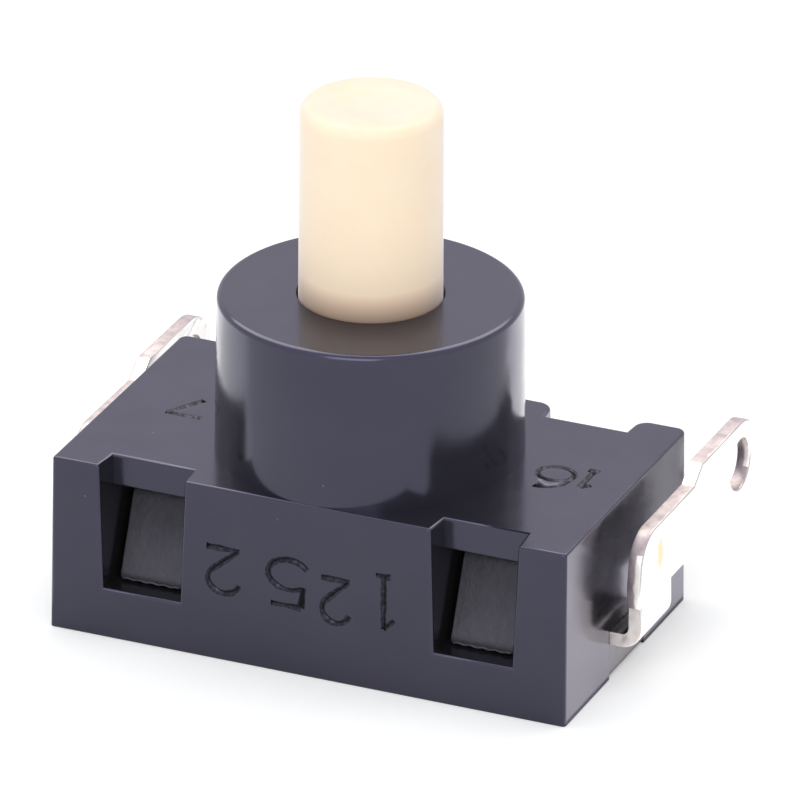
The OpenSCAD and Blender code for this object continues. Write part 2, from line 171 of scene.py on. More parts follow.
def stacked(name, *loops):
    """Skin over like loops of 3-D points, one after another, and close both ends."""
    form = bmesh.new()
    rows = [[form.verts.new(p) for p in loop] for loop in loops]
    form.faces.new(rows[0])
    form.faces.new(rows[-1][::-1])
    for near, far in zip(rows, rows[1:]):
        for n in range(len(near)):
            m = (n + 1) % len(near)
            form.faces.new([near[n], near[m], far[m], far[n]])
    return close_up(name, form)


def pushed(name, outline, axis, low, high):
    """Push an outline straight along X, Y or Z, from low to high."""
    def at(u, v, depth):
        return {"X": (depth, u, v), "Y": (u, depth, v), "Z": (u, v, depth)}[axis]
    return stacked(name, [at(u, v, low) for u, v in outline], [at(u, v, high) for u, v in outline])


def block(name, low, high):
    corners = [(low[0], low[1]), (high[0], low[1]), (high[0], high[1]), (low[0], high[1])]
    return pushed(name, corners, "Z", low[2], high[2])


print("helpers: turned, stacked, pushed, block")

# %% [markdown]
# ## Joining, cutting and softening
# A mould is cut from blocks, so a moulded piece is well described by joining and cutting solids.
# The boolean is applied at once, which leaves a plain mesh. Real mouldings have no knife edges:
# the light runs along a narrow rounding, so sharp edges get a true bevel of a few hundredths.

# %% Helpers that cut and soften


def settle(piece):
    """Apply a piece's modifiers, so that it is a plain mesh."""
    view = piece.evaluated_get(bpy.context.evaluated_depsgraph_get())
    mesh = bpy.data.meshes.new_from_object(view)
    piece.modifiers.clear()
    old, piece.data = piece.data, mesh
    mesh.name = piece.name
    bpy.data.meshes.remove(old)
    return piece


def work(piece, tool, operation):
    step = piece.modifiers.new("work", "BOOLEAN")
    step.operation = operation
    step.solver = "MANIFOLD"
    step.object = tool
    settle(piece)
    bpy.data.objects.remove(tool)
    return piece


def add(piece, *tools):
    for tool in tools:
        work(piece, tool, "UNION")
    return piece


def cut(piece, *tools):
    for tool in tools:
        work(piece, tool, "DIFFERENCE")
    return piece


def flatten_faces(form):
    """Merge the faces that a boolean split, where they lie in one plane."""
    bmesh.ops.remove_doubles(form, verts=form.verts, dist=1e-6)
    bmesh.ops.dissolve_limit(form, angle_limit=math.radians(0.3), verts=form.verts, edges=form.edges)


def soften(piece, width, steps=2, chosen=lambda edge: True, sharper_than=40):
    """Round the outer edges that are sharper than an angle in degrees."""
    form = bmesh.new()
    form.from_mesh(piece.data)
    flatten_faces(form)
    limit = math.radians(sharper_than)
    edges = [e for e in form.edges
             if e.is_manifold and e.is_convex and e.calc_face_angle() > limit and chosen(e)]
    bmesh.ops.bevel(form, geom=edges, offset=width * MM, offset_type="OFFSET", segments=steps,
                    profile=0.5, affect="EDGES", clamp_overlap=False)
    form.to_mesh(piece.data)
    form.free()
    return piece


def even_light(piece, sharp=50):
    """Smooth the round faces and keep the flat ones flat, by weighting normals with face area."""
    mesh = piece.data
    mesh.polygons.foreach_set("use_smooth", [True] * len(mesh.polygons))
    mesh.set_sharp_from_angle(angle=math.radians(sharp))
    step = piece.modifiers.new("even light", "WEIGHTED_NORMAL")
    step.keep_sharp = True
    return settle(piece)


def moved(piece, matrix):
    piece.data.transform(matrix)
    return piece


def turned_about_z(piece, degrees):
    return moved(piece, Matrix.Rotation(math.radians(degrees), 4, "Z"))


print("helpers: add, cut, soften, even_light")

# %% [markdown]
# ## Repeating a part with Geometry Nodes
# Windows, hooks, lugs and rivets are each one shape that stands at several places. A Geometry
# Nodes tree sets the copies out by rule, so their spacing is a named input and never drifts.
# Two trees are enough: one sets copies in a ring, and the other sets them on both sides of the
# middle, with the back ones turned about. Both end in real geometry, not instances.

# %% Helpers that build node trees


def new_tree(name, inputs):
    """A geometry tree with named inputs. Returns it with its input and output nodes."""
    tree = bpy.data.node_groups.new(name, "GeometryNodeTree")
    tree.interface.new_socket("Geometry", in_out="INPUT", socket_type="NodeSocketGeometry")
    for label, kind in inputs:
        tree.interface.new_socket(label, in_out="INPUT", socket_type="NodeSocket" + kind)
    tree.interface.new_socket("Geometry", in_out="OUTPUT", socket_type="NodeSocketGeometry")
    return tree, tree.nodes.new("NodeGroupInput"), tree.nodes.new("NodeGroupOutput")


def joint(tree, value, socket):
    """Feed a socket from another socket, or set it to a plain value."""
    if isinstance(value, bpy.types.NodeSocket):
        tree.links.new(value, socket)
    elif value is not None:
        socket.default_value = value


def sum_of(tree, operation, first, second=None):
    """One step of arithmetic on sockets or plain numbers."""
    step = tree.nodes.new("ShaderNodeMath")
    step.operation = operation
    joint(tree, first, step.inputs[0])
    joint(tree, second, step.inputs[1])
    return step.outputs[0]


def vector_of(tree, x, y, z):
    step = tree.nodes.new("ShaderNodeCombineXYZ")
    for value, socket in zip((x, y, z), step.inputs):
        joint(tree, value, socket)
    return step.outputs[0]


def end_tree(tree, geometry, finish, output):
    """Make the copies real, give them their finish and hand them out."""
    real = tree.nodes.new("GeometryNodeRealizeInstances")
    coat = tree.nodes.new("GeometryNodeSetMaterial")
    tree.links.new(geometry, real.inputs["Geometry"])
    tree.links.new(real.outputs["Geometry"], coat.inputs["Geometry"])
    tree.links.new(finish, coat.inputs["Material"])
    tree.links.new(coat.outputs["Geometry"], output.inputs["Geometry"])


def grow(name, tree, sizes):
    """Run a tree with its named inputs set, and keep the result as a plain mesh."""
    piece = add_piece(name, bpy.data.meshes.new(name))
    step = piece.modifiers.new("grow", "NODES")
    step.node_group = tree
    for item in tree.interface.items_tree:
        if item.in_out == "INPUT" and item.name in sizes:
            step[item.identifier] = sizes[item.name]
    return settle(piece)


def copies_at(tree, part, places, turns):
    """Set copies of an object at points, each turned about Z."""
    source = tree.nodes.new("GeometryNodeObjectInfo")
    source.inputs["As Instance"].default_value = True
    tree.links.new(part, source.inputs["Object"])
    put = tree.nodes.new("GeometryNodeInstanceOnPoints")
    tree.links.new(places, put.inputs["Points"])
    tree.links.new(source.outputs["Geometry"], put.inputs["Instance"])
    spin = tree.nodes.new("FunctionNodeEulerToRotation")
    tree.links.new(vector_of(tree, None, None, turns), spin.inputs[0])
    tree.links.new(spin.outputs[0], put.inputs["Rotation"])
    return put.outputs["Instances"]


print("helpers: new_tree, grow, copies_at")

# %% The ring tree and the row tree


def make_ring_tree():
    tree, given, out = new_tree("ring of parts", [("Part", "Object"), ("Copies", "Int"),
                                                  ("First Turn", "Float"), ("Finish", "Material")])
    points = tree.nodes.new("GeometryNodePoints")
    tree.links.new(given.outputs["Copies"], points.inputs["Count"])
    index = tree.nodes.new("GeometryNodeInputIndex").outputs[0]
    share = sum_of(tree, "DIVIDE", index, given.outputs["Copies"])
    turn = sum_of(tree, "ADD", sum_of(tree, "MULTIPLY", share, 2 * math.pi), given.outputs["First Turn"])
    ring = copies_at(tree, given.outputs["Part"], points.outputs[0], turn)
    end_tree(tree, ring, given.outputs["Finish"], out)
    return tree


def make_row_tree():
    tree, given, out = new_tree("parts on both sides", [("Part", "Object"), ("Copies", "Int"),
                                                        ("Reach", "Float"), ("Finish", "Material")])
    points = tree.nodes.new("GeometryNodePoints")
    tree.links.new(given.outputs["Copies"], points.inputs["Count"])
    index = tree.nodes.new("GeometryNodeInputIndex").outputs[0]
    side = sum_of(tree, "SUBTRACT", 1, sum_of(tree, "MULTIPLY", sum_of(tree, "MODULO", index, 2), 2))
    reach = sum_of(tree, "MULTIPLY", side, given.outputs["Reach"])
    tree.links.new(vector_of(tree, reach, None, None), points.inputs["Position"])
    half = sum_of(tree, "FLOOR", sum_of(tree, "DIVIDE", index, 2))
    row = copies_at(tree, given.outputs["Part"], points.outputs[0], sum_of(tree, "MULTIPLY", half, math.pi))
    end_tree(tree, row, given.outputs["Finish"], out)
    return tree


ring_tree = make_ring_tree()
row_tree = make_row_tree()


def ring_of(part, copies, first_turn=0.0, finish=None):
    """Copies of a part round the Z axis, as one mesh. The part itself is used up."""
    ring = grow(part.name + "_ring", ring_tree, {"Part": part, "Copies": copies,
                                                 "First Turn": math.radians(first_turn), "Finish": finish})
    bpy.data.objects.remove(part)
    return ring


def both_sides(part, copies, reach, finish=None):
    """Copies of a part at plus and minus reach along X, and with four, at the back as well."""
    row = grow(part.name + "_row", row_tree, {"Part": part, "Copies": copies,
                                              "Reach": reach * MM, "Finish": finish})
    bpy.data.objects.remove(part)
    return row


print("trees:", ring_tree.name, "and", row_tree.name)

# %% [markdown]
# ## Finishes
# Each finish is a small node tree on the piece's own coordinates. Moulded plastic is never one
# flat colour: its gloss wanders a little, its skin has a fine grain, and dust sits on it. Metal
# strip shows the draw of the rolls and thin places in its plating. The helpers below give those.

# %% Helpers for finishes


def start_finish(name):
    finish = bpy.data.materials.new(name)
    finish.use_nodes = True
    tree = finish.node_tree
    place = tree.nodes.new("ShaderNodeTexCoord").outputs["Object"]
    return finish, tree, tree.nodes["Principled BSDF"], place


def grain(tree, place, size, detail=2.0, shift=(0, 0, 0), stretch=(1, 1, 1)):
    """Noise with patches about size millimetres across. A stretch under 1 draws them out."""
    lay = tree.nodes.new("ShaderNodeMapping")
    lay.inputs["Location"].default_value = [v * MM for v in shift]
    lay.inputs["Scale"].default_value = stretch
    noise = tree.nodes.new("ShaderNodeTexNoise")
    noise.inputs["Scale"].default_value = 1 / (size * MM)
    noise.inputs["Detail"].default_value = detail
    tree.links.new(place, lay.inputs["Vector"])
    tree.links.new(lay.outputs["Vector"], noise.inputs["Vector"])
    return noise.outputs["Fac"]


def span(tree, amount, low, high, start=0.35, end=0.65):
    """Spread a noise between two values."""
    step = tree.nodes.new("ShaderNodeMapRange")
    for label, value in (("From Min", start), ("From Max", end), ("To Min", low), ("To Max", high)):
        step.inputs[label].default_value = value
    tree.links.new(amount, step.inputs["Value"])
    return step.outputs["Result"]


def blend(tree, amount, first, second):
    """Mix two colours, each a colour or a socket, by an amount."""
    mix = tree.nodes.new("ShaderNodeMix")
    mix.data_type = "RGBA"
    tree.links.new(amount, mix.inputs["Factor"])
    for value, socket in ((first, mix.inputs["A"]), (second, mix.inputs["B"])):
        joint(tree, value if isinstance(value, bpy.types.NodeSocket) else (*value, 1), socket)
    return mix.outputs["Result"]


def relief(tree, amount, height, under=None):
    """Raise a noise by a height in millimetres, on top of another relief."""
    bump = tree.nodes.new("ShaderNodeBump")
    bump.inputs["Distance"].default_value = height * MM
    tree.links.new(amount, bump.inputs["Height"])
    if under:
        tree.links.new(under, bump.inputs["Normal"])
    return bump.outputs["Normal"]


def distance(tree, place, middle, reach):
    """How far a point is from a middle in millimetres, measured in reaches along X, Y and Z."""
    lay = tree.nodes.new("ShaderNodeMapping")
    lay.inputs["Scale"].default_value = [1 / (v * MM) for v in reach]
    lay.inputs["Location"].default_value = [-m / v for m, v in zip(middle, reach)]
    size = tree.nodes.new("ShaderNodeVectorMath")
    size.operation = "LENGTH"
    tree.links.new(place, lay.inputs["Vector"])
    tree.links.new(lay.outputs["Vector"], size.inputs[0])
    return size.outputs["Value"]


def specks(tree, place, apart, radius):
    """A few tiny specks of dust: 1 within a radius of scattered points that are so far apart."""
    cells = tree.nodes.new("ShaderNodeTexVoronoi")
    cells.inputs["Scale"].default_value = 1 / (apart * MM)
    tree.links.new(place, cells.inputs["Vector"])
    return sum_of(tree, "LESS_THAN", cells.outputs["Distance"], radius / apart)


print("helpers: grain, span, blend, relief, distance, specks")

# %% [markdown]
# ### Mouldings
# The housing is a glossy black that leans to blue, so the pieces round it mirror softly in it.
# The walls of its sunk numerals are marked: the finish is rougher there, and its reflection is
# painted weaker, as painted shade in the grooves. The base comes from another mould: smooth near
# its foot, sparked and cloudy above, so its skin follows the height. Its reflection is painted
# weaker higher up, as painted shade under the housing's top plate.
# The button is an ivory plastic that lets a little light in. It has faint rings from the mould and
# a few brown specks. Its colour is painted deeper down the shank and dark just above the collar,
# as painted shade from the collar and its hole.

# %% Moulded plastics


def moulding(name, dark, light, gloss, skin, skin_height):
    """A moulded plastic: two close colours in soft clouds, wandering gloss and a fine skin."""
    finish, tree, shader, place = start_finish(name)
    clouds = span(tree, grain(tree, place, 3.5, 3), 0, 1)
    shader_links = tree.links.new
    shader_links(blend(tree, clouds, dark, light), shader.inputs["Base Color"])
    shader_links(span(tree, grain(tree, place, 1.6, 3, (7, 3, 5)), *gloss), shader.inputs["Roughness"])
    shader_links(relief(tree, grain(tree, place, skin, 3), skin_height), shader.inputs["Normal"])
    return finish, tree, shader, place


def black_moulding():
    finish, tree, shader, place = moulding("black_moulding", (0.010, 0.010, 0.0105), (0.014, 0.014, 0.015),
                                           (0.15, 0.21), 0.25, 0.0006)
    shader.inputs["IOR"].default_value = 1.56
    shader.inputs["Specular Tint"].default_value = (0.64, 0.62, 0.92, 1)
    marked = tree.nodes.new("ShaderNodeAttribute")
    marked.attribute_name = "marked"
    # Painted shade: on the marked groove walls the reflection is painted weaker, standing in for the shade
    # inside the grooves. The roughness is raised there too.
    rough_and_shaded_groove = sum_of(tree, "MULTIPLY", marked.outputs["Fac"],
                         span(tree, grain(tree, place, 0.25, 3, (4, 4, 1)), 0.8, 0.35, 0.4, 0.65))
    tree.links.new(sum_of(tree, "SUBTRACT", 1.0, rough_and_shaded_groove), shader.inputs["Specular IOR Level"])
    gloss = shader.inputs["Roughness"].links[0].from_socket
    tree.links.new(sum_of(tree, "ADD", gloss, sum_of(tree, "MULTIPLY", rough_and_shaded_groove, 0.3)),
                   shader.inputs["Roughness"])
    tint = shader.inputs["Base Color"].links[0].from_socket
    dusty = blend(tree, specks(tree, place, 2.2, 0.035), tint, (0.2, 0.2, 0.21))
    tree.links.new(dusty, shader.inputs["Base Color"])
    skin = shader.inputs["Normal"].links[0].from_socket
    sink = relief(tree, grain(tree, place, 4.5, 1, (2, 9, 4)), 0.02, skin)
    tree.links.new(sink, shader.inputs["Normal"])
    return finish


def base_moulding():
    finish, tree, shader, place = moulding("base_moulding", (0.012, 0.012, 0.012), (0.024, 0.024, 0.023),
                                           (0.34, 0.52), 0.12, 0.006)
    shader.inputs["Specular Tint"].default_value = (0.84, 0.83, 1, 1)
    apart = tree.nodes.new("ShaderNodeSeparateXYZ")
    tree.links.new(place, apart.inputs[0])
    height = apart.outputs["Z"]
    # Painted shade: the reflection is painted strong near the foot and weak higher up, standing in for the
    # shade that the housing's top plate casts on the hooks.
    painted_shade_gloss = span(tree, height, 0.85, 0.35, 3.5 * MM, 8.8 * MM)
    tree.links.new(painted_shade_gloss, shader.inputs["Specular IOR Level"])
    skin = shader.inputs["Normal"].links[0].from_socket
    pits = relief(tree, grain(tree, place, 0.45, 2, (3, 1, 8)), 0.03, skin)
    tree.links.new(pits, shader.inputs["Normal"])
    sparked = span(tree, height, 0.4, 1, 2.2 * MM, 2.6 * MM)
    for bump in [node for node in tree.nodes if node.bl_idname == "ShaderNodeBump"]:
        tree.links.new(sparked, bump.inputs["Strength"])
    gloss = shader.inputs["Roughness"].links[0].from_socket
    tree.links.new(sum_of(tree, "MULTIPLY", gloss, sparked), shader.inputs["Roughness"])
    return finish


def ivory_moulding():
    finish, tree, shader, place = moulding("ivory_moulding", (0.99, 0.78, 0.58), (0.995, 0.82, 0.635),
                                           (0.5, 0.6), 0.4, 0.001)
    tint = shader.inputs["Base Color"].links[0].from_socket
    height = tree.nodes.new("ShaderNodeSeparateXYZ")
    tree.links.new(place, height.inputs["Vector"])
    above = cover_high.z * MM
    # Painted shade: the colour is painted a little deeper down the shank and dark brown in the last 1.6 mm
    # above the collar, standing in for the shade of the collar and its hole.
    lower = span(tree, height.outputs["Z"], 0, 1, above + 11 * MM, above)
    foot = span(tree, height.outputs["Z"], 0, 1, above + 1.6 * MM, above)
    tint = blend(tree, lower, tint, (0.995, 0.785, 0.585))
    tint = blend(tree, foot, tint, (0.42, 0.29, 0.205))
    spots = blend(tree, specks(tree, place, 4.5, 0.06), tint, (0.3, 0.2, 0.14))
    tree.links.new(spots, shader.inputs["Base Color"])
    rings = relief(tree, grain(tree, place, 0.35, 2, (1, 1, 1), (0.02, 0.02, 1)), 0.002,
                   shader.inputs["Normal"].links[0].from_socket)
    tree.links.new(rings, shader.inputs["Normal"])
    shader.inputs["Sheen Weight"].default_value = 1.0
    shader.inputs["Sheen Roughness"].default_value = 0.4
    shader.inputs["Sheen Tint"].default_value = (1, 0.94, 0.95, 1)
    shader.inputs["Subsurface Weight"].default_value = 0.35
    shader.inputs["Subsurface Radius"].default_value = (1, 0.75, 0.5)
    shader.inputs["Subsurface Scale"].default_value = 1.2 * MM
    return finish


finishes = {
    "black_moulding": black_moulding(),
    "base_moulding": base_moulding(),
    "ivory_moulding": ivory_moulding(),
    "natural_moulding": moulding("natural_moulding", (0.74, 0.72, 0.65), (0.8, 0.78, 0.72),
                                 (0.35, 0.45), 0.3, 0.001)[0],
    "grey_moulding": moulding("grey_moulding", (0.16, 0.16, 0.17), (0.2, 0.2, 0.21),
                              (0.4, 0.5), 0.3, 0.001)[0],
}
print("moulded finishes:", ", ".join(finishes))

# %% [markdown]
# ### Metals
# The terminals are tin-plated brass: nearly white and softly bright, with one rubbed place where
# the yellow comes through. A punch leaves an edge that is smooth on its outer part and torn on
# its inner part, so the edges carry a value that tells the finish which is which. The bridge is
# rolled copper, the contacts are silver, and the springs and their seat are drawn steel.

# %% Metals


def metal(name, dark, light, gloss, patch, draw=(1, 1, 1)):
    """A worked metal: two close colours in patches and a gloss that follows the draw."""
    finish, tree, shader, place = start_finish(name)
    shader.inputs["Metallic"].default_value = 1
    clouds = span(tree, grain(tree, place, patch, 3), 0, 1)
    tree.links.new(blend(tree, clouds, dark, light), shader.inputs["Base Color"])
    lines = grain(tree, place, patch / 3, 3, (4, 8, 2), draw)
    tree.links.new(span(tree, lines, *gloss), shader.inputs["Roughness"])
    tree.links.new(relief(tree, lines, 0.001), shader.inputs["Normal"])
    return finish, tree, shader, place


def plated_strip():
    finish, tree, shader, place = metal("plated_strip", (0.555, 0.53, 0.525), (0.61, 0.59, 0.585),
                                        (0.16, 0.3), 1.8, (1, 0.25, 1))
    plating = shader.inputs["Base Color"].links[0].from_socket
    patchy = sum_of(tree, "ADD", distance(tree, place, (17.3, 0.15, 7.0), (0.6, 0.45, 0.95)),
                    grain(tree, place, 0.4, 2, (3, 2, 6)))
    worn = blend(tree, span(tree, patchy, 1, 0, 1.3, 1.5), plating, (0.58, 0.43, 0.25))
    sheared = tree.nodes.new("ShaderNodeAttribute")
    sheared.attribute_name = "sheared"
    torn = span(tree, grain(tree, place, 0.5, 3, (5, 6, 7)), 0, 1)
    smooth = blend(tree, torn, (0.97, 0.9, 0.82), (1, 0.97, 0.93))
    tear = blend(tree, torn, (0.37, 0.32, 0.33), (0.52, 0.455, 0.47))
    depth = sum_of(tree, "ADD", sheared.outputs["Fac"],
                   sum_of(tree, "MULTIPLY", sum_of(tree, "SUBTRACT", torn, 0.5), 0.06))
    torn_part = span(tree, depth, 0, 1, 0.7, 0.78)
    edge = blend(tree, torn_part, smooth, tear)
    tree.links.new(blend(tree, span(tree, sheared.outputs["Fac"], 0, 1, 0.3, 0.4), worn, edge),
                   shader.inputs["Base Color"])
    dull = sum_of(tree, "MULTIPLY", span(tree, depth, 0, 1, 0.54, 0.6), 0.25)
    gloss = sum_of(tree, "ADD", shader.inputs["Roughness"].links[0].from_socket, dull)
    tree.links.new(gloss, shader.inputs["Roughness"])
    return finish


finishes["plated_strip"] = plated_strip()
finishes["copper_strip"] = metal("copper_strip", (0.72, 0.4, 0.25), (0.82, 0.5, 0.33), (0.2, 0.35), 1.5,
                                 (0.2, 1, 1))[0]
finishes["contact_metal"] = metal("contact_metal", (0.78, 0.78, 0.76), (0.86, 0.86, 0.84),
                                  (0.2, 0.32), 0.8)[0]
finishes["spring_steel"] = metal("spring_steel", (0.52, 0.53, 0.55), (0.63, 0.64, 0.66), (0.18, 0.3), 0.6)[0]
print("all finishes:", ", ".join(finishes))

# %% [markdown]
# ## Handing a piece over
# Each finished piece is told three things: which body it moves with, which solids it stands for
# and which finish it takes. Solids that nothing replaces would keep their own faceted mesh.

# %% Helper that hands a piece over


def hand_over(piece, body, slot, *nodes):
    piece.data.materials.clear()
    piece.data.materials.append(finishes[slot])
    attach(piece, body)
    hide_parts(*nodes)
    triangles = sum(len(face.vertices) - 2 for face in piece.data.polygons)
    print(piece.name, "rides on", body, "with", triangles, "triangles")


print("helper: hand_over")

# %% [markdown]
# ## The housing
# The housing is the piece that everything else is measured from. It is a thin-walled box with a
# slight draft, so that it leaves its mould, and a round collar that guides the button. Its block
# is skinned over a stack of rounded rectangles, so that its front and ends lean inwards, and its
# cavity is cut from below, as the core of the mould would leave it.

# %% The housing's block
DECK = cover_high.z - 9.2        # the flat top of the block, from which the collar rises
ROOF = DECK - 1.8                # the underside of the top plate
DRAFT_X, DRAFT_Y = 0.12, 0.13
FOOT_ROUND = 0.04


def rounded_rectangle(half_x, front_y, rear_y, height, front=0.2, rear=0.4, steps=6):
    corners = (arc(half_x - front, front_y + front, front, -90, 0, steps)
               + arc(half_x - rear, rear_y - rear, rear, 0, 90, steps)
               + arc(rear - half_x, rear_y - rear, rear, 90, 180, steps)
               + arc(front - half_x, front_y + front, front, 180, 270, steps))
    return [(x, y, height) for x, y in corners]


def block_loop(height, inset):
    """The block's outline at a height, drawn in by its draft and by an inset."""
    share = height / DECK
    return rounded_rectangle(cover_high.x - DRAFT_X * share - inset,
                             cover_low.y + DRAFT_Y * share + inset, cover_high.y - inset, height,
                             0.22 - inset, 0.5 - inset)


foot_loops = [block_loop(FOOT_ROUND - v, FOOT_ROUND - u) for u, v in arc(0, 0, FOOT_ROUND, 90, 0, 3)]
cover = stacked("cover", *foot_loops, block_loop(DECK, 0))

WALL_IN = -cover_low.y - 1.7     # the inner face of the front wall
WINDOW_X = cover_high.x - 5.55   # the middle of each window
cut(cover, block("cavity", (cover_low.x + 1.6, -WALL_IN, -1), (cover_high.x - 1.6, WALL_IN, ROOF)))
jambs = block("jambs", (-3.2, -WALL_IN - 0.2, 2.25), (3.2, -WALL_IN + 3.1, ROOF + 0.2))
add(cover, both_sides(jambs, 4, WINDOW_X))
print("block:", [round(v, 2) for v in cover.dimensions / MM])

# %% [markdown]
# Four windows let in the hooks of the base. Each front window widens towards the outside, so that
# its core slides out, and solid jambs beside every window keep the hook in place. A slot in each
# end wall takes the tongue of the base. The upper edges are rounded last and in one pass, so that
# the rounding runs on from the block's rim into the windows.

# %% Windows and slots
SILL = 2.95
SILL_HALF, TOP_HALF, NARROWS = 2.33, 2.6, 0.088


def window_half(y, z):
    """Half the window's width: it opens upwards and narrows inwards."""
    rise = (z - SILL) / (DECK - SILL)
    return SILL_HALF + (TOP_HALF - SILL_HALF) * rise - NARROWS * (y - cover_low.y)


def window_loop(y, flare, top, lean=DRAFT_Y):
    """A trapezium across the window at a depth, widened by a flare and leaning like the wall."""
    def corner(side, z):
        return (side * (window_half(y, z) + flare), y + lean * z / DECK, z)
    return [corner(-1, SILL), corner(1, SILL), corner(1, top), corner(-1, top)]


def window(name, radius, lean):
    """A cutter for one front window, with its upright edges rounded by a radius."""
    face, high = cover_low.y, DECK + 0.6
    loops = [window_loop(face - 0.6, radius, high, lean)]
    if radius:
        loops += [window_loop(face + radius - u, radius - v, high, lean)
                  for u, v in arc(0, 0, radius, 0, 90, 8)]
    return stacked(name, *loops, window_loop(-WALL_IN - 0.05, 0, high, lean))


def reveal(name):
    """A cutter for the way in behind a window, under the top plate."""
    return stacked(name, window_loop(-WALL_IN - 0.3, 0, ROOF - 0.1), window_loop(3 - WALL_IN, 0, ROOF - 0.1))


back_windows = turned_about_z(both_sides(window("back_window", 0.75, 0), 2, WINDOW_X), 180)
cut(cover, both_sides(window("front_window", 0, DRAFT_Y), 2, WINDOW_X), back_windows,
    both_sides(reveal("reveal"), 4, WINDOW_X))
cut(cover, block("end_slots", (cover_low.x - 1, -2.52, -1), (cover_high.x + 1, 2.52, 3.0)))
soften(cover, 0.18, 4, lambda e: e.verts[0].co.z > 3.1 * MM or abs(e.verts[0].co.x) < 15 * MM, 55)
print("windows at", round(WINDOW_X, 2), "mm either side")

# %% [markdown]
# The collar is turned in one go, with a slight taper for the mould and a well rounded rim. It is
# a little wider than the block is deep, so the mould shaves it flat along the front and the back.
# Its bore takes the button's skirt, and a smaller hole at the top lets the button through.

# %% The collar and its bore
collar_foot, collar_rim, shave = 8.62, 8.5, 8.6
collar_top = cover_high.z
collar = turned("collar", [(0, DECK - 0.5), (collar_foot, DECK - 0.5), (collar_foot, DECK),
                           *arc(collar_rim - 0.34, collar_top - 0.34, 0.34, 0, 90, 8), (0, collar_top)])
cut(collar, block("front_shave", (-9, -10, 0), (9, -shave, 30)),
    block("back_shave", (-9, shave, 0), (9, 10, 30)))
add(cover, collar)

BARREL = 6.6
hole = 4.1
cut(cover, turned("bore", [(0, ROOF - 0.5), (BARREL, ROOF - 0.5), (BARREL, collar_top - 1.6),
                           (hole, collar_top - 1.6), (hole, collar_top - 0.04),
                           *arc(hole + 0.04, collar_top - 0.04, 0.04, 180, 90, 3)[1:],
                           (hole + 0.2, collar_top + 1), (0, collar_top + 1)]))
print("collar top at", round(collar_top, 2), "mm")

# %% [markdown]
# Inside the collar, four ribs leave four slots for the lugs of the button and of the ratchet. The
# lower end of each rib has two ramps. On a real switch they turn the ratchet by an eighth each time
# it comes up, so that it lands either in a slot, with the button out, or under a rib, with the
# button held. Here they are shape only: the frame's joint lets the ratchet turn by its play in the
# slots, and the stroke is a little short for the step that would free it.

# %% Guide ribs
RIB_TIP, RIB_RADIUS, TOOTH_RISE = 11.65, 5.3, 0.8
LUG_HALF, LUG_REACH, SLOT_HALF = 1.3, 6.45, 1.45


def ramp(name, run, low, high):
    """A cutter that leaves a ramp, rising over its run towards the X axis."""
    foot = low - 0.2 * (high - low)
    return pushed(name, [(-1.2 * run, foot), (0, high), (0, foot)], "X", 0, 2 * collar_foot)


ribs = turned("ribs", [(RIB_RADIUS, RIB_TIP), (BARREL + 0.2, RIB_TIP),
                       (BARREL + 0.2, collar_top - 1.4), (RIB_RADIUS, collar_top - 1.4)], ring=True)
latch_turn = 45 + math.degrees(math.asin(LUG_HALF / LUG_REACH))
latch_run = RIB_RADIUS * math.sin(math.radians(latch_turn))
cut(ribs, ring_of(block("rib_slot", (0, -SLOT_HALF, 10), (BARREL, SLOT_HALF, 19)), 4),
    ring_of(ramp("latch_ramp", latch_run, RIB_TIP, RIB_TIP + TOOTH_RISE), 4, latch_turn),
    ring_of(ramp("slot_ramp", 2 * LUG_HALF, RIB_TIP, RIB_TIP + TOOTH_RISE), 4, 90))
add(cover, ribs)
print("four ribs, with a latch ramp", round(latch_turn, 1), "degrees round")

# %% [markdown]
# Moulded housings carry sunk numerals. Plain ones stand here, upside down as the switch is seen.
# A small node tree sweeps a four-sided section along each stroke and lets it wander, as in a worn
# mould, which gives a groove with sloping walls. A numeral's strokes are cut one at a time,
# because two that meet in a sharp turn would spoil each other. The walls of the grooves are then
# marked for the finish.

# %% Sunk numerals


def make_groove_tree():
    tree, given, out = new_tree("cut groove", [("Stroke", "Object"), ("Radius", "Float"),
                                                      ("Wander", "Float"), ("Finish", "Material")])
    path = tree.nodes.new("GeometryNodeObjectInfo")
    section = tree.nodes.new("GeometryNodeCurvePrimitiveCircle")
    sweep = tree.nodes.new("GeometryNodeCurveToMesh")
    section.inputs["Resolution"].default_value = 4
    sweep.inputs["Fill Caps"].default_value = True
    tree.links.new(given.outputs["Stroke"], path.inputs["Object"])
    tree.links.new(given.outputs["Radius"], section.inputs["Radius"])
    steps = tree.nodes.new("GeometryNodeResampleCurve")
    steps.mode = "LENGTH"
    steps.inputs["Length"].default_value = 0.12 * MM
    tree.links.new(path.outputs["Geometry"], steps.inputs["Curve"])
    noise = tree.nodes.new("ShaderNodeTexNoise")
    noise.inputs["Scale"].default_value = 1 / (0.9 * MM)
    swell = sum_of(tree, "MULTIPLY", sum_of(tree, "SUBTRACT", noise.outputs["Fac"], 0.5),
                   given.outputs["Wander"])
    tree.links.new(sum_of(tree, "ADD", swell, 1), sweep.inputs["Scale"])
    tree.links.new(steps.outputs["Curve"], sweep.inputs["Curve"])
    tree.links.new(section.outputs["Curve"], sweep.inputs["Profile Curve"])
    end_tree(tree, sweep.outputs["Mesh"], given.outputs["Finish"], out)
    return tree


groove_tree = make_groove_tree()


def bow(x, y, across, upward, start, end, steps=12):
    """Points of a part of an ellipse, in shares of a numeral's width and height."""
    return [(x + across * u, y + upward * v) for u, v in arc(0, 0, 1, start, end, steps)]


